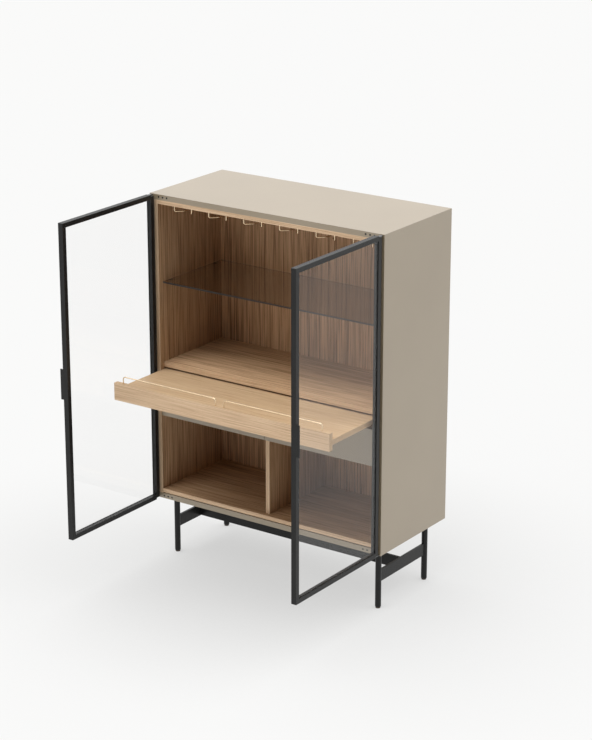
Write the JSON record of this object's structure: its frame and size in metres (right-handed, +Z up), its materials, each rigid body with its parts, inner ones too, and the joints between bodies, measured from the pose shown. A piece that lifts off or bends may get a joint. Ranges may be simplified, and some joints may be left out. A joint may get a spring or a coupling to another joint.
{
  "type": "bar cabinet",
  "caption": "Free-standing bar cabinet with glazed swing doors, pull-out serving tray, drawers, glass shelf and wire stemware racks on a slim steel base.",
  "frame": {"origin": "on the floor, in the middle of the space taken up with the doors open and the tray pulled out", "axes": "+Z up, +X to the right of somebody facing the cabinet, -Y towards that person"},
  "size_m": [1.014, 0.939, 1.396],
  "materials": {
    "taupe_lacquer": "satin lacquer",
    "oak_veneer": "matt oiled oak veneer",
    "black_metal": "fine black powder coat",
    "brass": "satin brass",
    "clear_glass": "clear polished",
    "smoked_glass": "smoked polished",
    "steel": "zinc plated",
    "hinge_metal": "satin paint",
    "nylon": "dark moulded"
  },
  "bodies": {
    "carcass": {"back_lining": "oak_veneer", "back_panel": "taupe_lacquer", "bottom_lining": "oak_veneer", "bottom_panel": "taupe_lacquer", "centre_beam": "black_metal", "drawer_bay_floor": "oak_veneer", "fixed_runners": "steel", "fixed_shelf": "oak_veneer", "glass_rack_1": "brass", "glass_rack_2": "brass", "glass_rack_3": "brass", "glass_rack_4": "brass", "glass_rack_5": "brass", "glass_rack_6": "brass", "glass_shelf": "smoked_glass", "glides": "nylon", "hinge_brackets": "hinge_metal", "hinge_screws": "black_metal", "left_end_frame": "black_metal", "left_lining": "oak_veneer", "left_side_panel": "taupe_lacquer", "lower_divider": "oak_veneer", "right_end_frame": "black_metal", "right_lining": "oak_veneer", "right_side_panel": "taupe_lacquer", "shelf_pins": "black_metal", "top_lining": "oak_veneer", "top_panel": "taupe_lacquer", "tray_support_panel": "oak_veneer"},
    "tray": {"left_gallery_rail": "brass", "right_gallery_rail": "brass", "tray_deck": "oak_veneer", "tray_fascia": "oak_veneer", "tray_slides": "steel"},
    "left_drawer": {"left_drawer_back": "oak_veneer", "left_drawer_bottom": "oak_veneer", "left_drawer_front": "taupe_lacquer", "left_drawer_left_side": "oak_veneer", "left_drawer_right_side": "oak_veneer", "left_drawer_slides": "steel"},
    "right_drawer": {"right_drawer_back": "oak_veneer", "right_drawer_bottom": "oak_veneer", "right_drawer_front": "taupe_lacquer", "right_drawer_left_side": "oak_veneer", "right_drawer_right_side": "oak_veneer", "right_drawer_slides": "steel"},
    "left_door": {"left_door_bottom_rail": "black_metal", "left_door_bushes": "nylon", "left_door_free_stile": "black_metal", "left_door_glass": "clear_glass", "left_door_hinge_stile": "black_metal", "left_door_pull": "black_metal", "left_door_top_rail": "black_metal"},
    "right_door": {"right_door_bottom_rail": "black_metal", "right_door_bushes": "nylon", "right_door_free_stile": "black_metal", "right_door_glass": "clear_glass", "right_door_hinge_stile": "black_metal", "right_door_pull": "black_metal", "right_door_top_rail": "black_metal"}
  },
  "joints": [
    {"name": "tray_slide", "type": "slide", "parent": "carcass", "child": "tray", "axis": [0, -1, 0], "range_m": [-0.271, 0]},
    {"name": "left_drawer_slide", "type": "slide", "parent": "carcass", "child": "left_drawer", "axis": [0, -1, 0], "range_m": [0, 0.25]},
    {"name": "right_drawer_slide", "type": "slide", "parent": "carcass", "child": "right_drawer", "axis": [0, -1, 0], "range_m": [0, 0.25]},
    {"name": "left_door_hinge", "type": "hinge", "parent": "carcass", "child": "left_door", "pos_m": [-0.4905, 0.02, 0.814], "axis": [0, 0, -1], "range_deg": [-3, 20]},
    {"name": "right_door_hinge", "type": "hinge", "parent": "carcass", "child": "right_door", "pos_m": [0.4905, 0.02, 0.814], "axis": [0, 0, 1], "range_deg": [-3, 20]}
  ]
}
